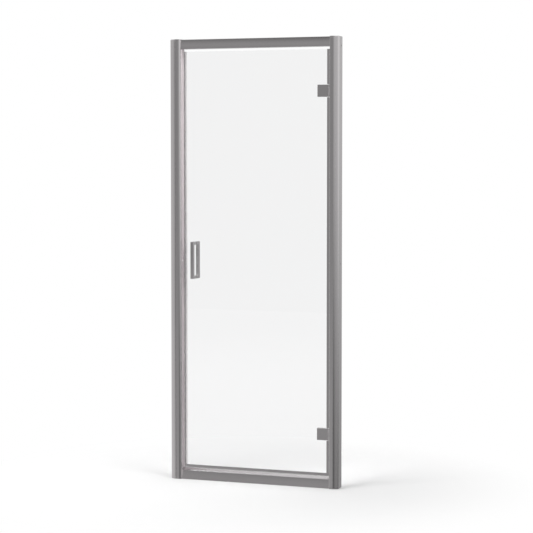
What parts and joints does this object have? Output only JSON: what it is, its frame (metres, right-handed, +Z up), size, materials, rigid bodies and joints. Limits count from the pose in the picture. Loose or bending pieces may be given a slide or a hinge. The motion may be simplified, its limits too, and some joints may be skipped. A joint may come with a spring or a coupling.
{
  "type": "hinged shower door",
  "caption": "Framed shower door for a niche: slim metal posts, rails and sill around a clear glass leaf on plate hinges, with a square pull handle on both sides.",
  "frame": {"origin": "middle of the door's width and of the glass's thickness, on the shower tray under the sill", "axes": "+Z up, +X towards the hinge side as seen from outside, +Y into the shower"},
  "size_m": [0.782, 0.08, 1.95],
  "materials": {
    "frame_metal": "satin anodised",
    "hardware_metal": "satin plated",
    "screw_steel": "plain",
    "cap_plastic": "metallised",
    "clear_glass": "clear",
    "clear_seal": "translucent",
    "magnet": "matte",
    "gasket": "matte",
    "bush_polymer": "matte"
  },
  "bodies": {
    "frame": {"backing_plate_lower": "screw_steel", "backing_plate_upper": "screw_steel", "bracket_screws_lower": "screw_steel", "bracket_screws_upper": "screw_steel", "cap_bottom_left": "cap_plastic", "cap_bottom_right": "cap_plastic", "cap_top_left": "cap_plastic", "cap_top_right": "cap_plastic", "closing_jamb": "frame_metal", "hinge_bracket_lower": "hardware_metal", "hinge_bracket_upper": "hardware_metal", "hinge_jamb": "frame_metal", "hinge_pin_lower": "screw_steel", "hinge_pin_upper": "screw_steel", "jamb_lock_screws_left": "screw_steel", "jamb_lock_screws_right": "screw_steel", "sill_rail": "frame_metal", "sill_rail_screws": "screw_steel", "strike_magnet": "magnet", "strike_screw": "screw_steel", "strike_seal": "clear_seal", "top_rail": "frame_metal", "top_rail_screws": "screw_steel", "wall_channel_left": "frame_metal", "wall_channel_right": "frame_metal"},
    "leaf": {"drip_rail": "frame_metal", "drip_seal": "clear_seal", "glass_panel": "clear_glass", "handle_front": "hardware_metal", "handle_grub_screws": "screw_steel", "handle_rear": "hardware_metal", "handle_sleeves": "bush_polymer", "handle_studs": "screw_steel", "handle_washers": "gasket", "hinge_bushes_lower": "bush_polymer", "hinge_bushes_upper": "bush_polymer", "hinge_clamp_plate_lower": "hardware_metal", "hinge_clamp_plate_upper": "hardware_metal", "hinge_clamp_screws_lower": "screw_steel", "hinge_clamp_screws_upper": "screw_steel", "hinge_edge_profile_lower": "frame_metal", "hinge_edge_profile_middle": "frame_metal", "hinge_edge_profile_upper": "frame_metal", "hinge_gaskets_lower": "gasket", "hinge_gaskets_upper": "gasket", "hinge_leaf_lower": "hardware_metal", "hinge_leaf_upper": "hardware_metal", "hinge_seal_lower": "clear_seal", "hinge_seal_middle": "clear_seal", "hinge_seal_upper": "clear_seal", "hinge_sleeves_lower": "bush_polymer", "hinge_sleeves_upper": "bush_polymer", "leaf_magnet": "magnet", "leaf_seal": "clear_seal"}
  },
  "joints": [
    {"name": "leaf_swing", "type": "hinge", "parent": "frame", "child": "leaf", "pos_m": [0.34, -0.007, 0.975], "axis": [0, 0, 1], "range_deg": [0, 90]}
  ]
}
